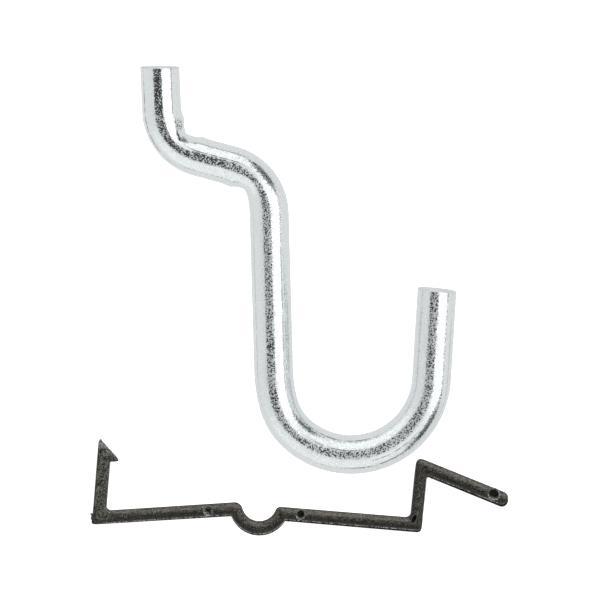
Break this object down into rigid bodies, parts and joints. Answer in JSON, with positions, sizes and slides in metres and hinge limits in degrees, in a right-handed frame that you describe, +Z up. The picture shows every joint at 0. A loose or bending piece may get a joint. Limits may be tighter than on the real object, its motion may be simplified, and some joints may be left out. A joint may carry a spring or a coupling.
{
  "type": "pegboard hook with peg lock",
  "caption": "Bent round-wire J-hook for a pegboard, lying beside the loose moulded lock that clips over its shank and snaps into the neighbouring holes.",
  "frame": {"origin": "on the table, under the middle of the box round the hook and the lock as they lie side by side", "axes": "+X across, +Y towards the hook's peg, +Z up from the table; both pieces lie flat"},
  "size_m": [0.061, 0.0685, 0.0057],
  "materials": {
    "zinc_plate": "bright zinc plate with fine drawing lines and speckle",
    "black_moulding": "matte spark-eroded mould texture, charcoal black"
  },
  "bodies": {
    "hook": {"hook": "zinc_plate"},
    "lock": {"lock_bar": "black_moulding"},
    "barb": {"barb_arm": "black_moulding"},
    "leg": {"spring_leg": "black_moulding"}
  },
  "joints": [
    {"name": "lock_lift", "type": "slide", "parent": "hook", "child": "lock", "axis": [0, 0, 1], "range_m": [0, 0.04]},
    {"name": "barb_flex", "type": "hinge", "parent": "lock", "child": "barb", "pos_m": [-0.02931, -0.03167, 0.0012], "axis": [0, 0, 1], "range_deg": [0, 8], "stiffness_Nm_per_rad": 0.2},
    {"name": "leg_flex", "type": "hinge", "parent": "lock", "child": "leg", "pos_m": [0.01776, -0.02416, 0.0012], "axis": [0, 0, 1], "range_deg": [0, 25], "stiffness_Nm_per_rad": 0.2}
  ]
}
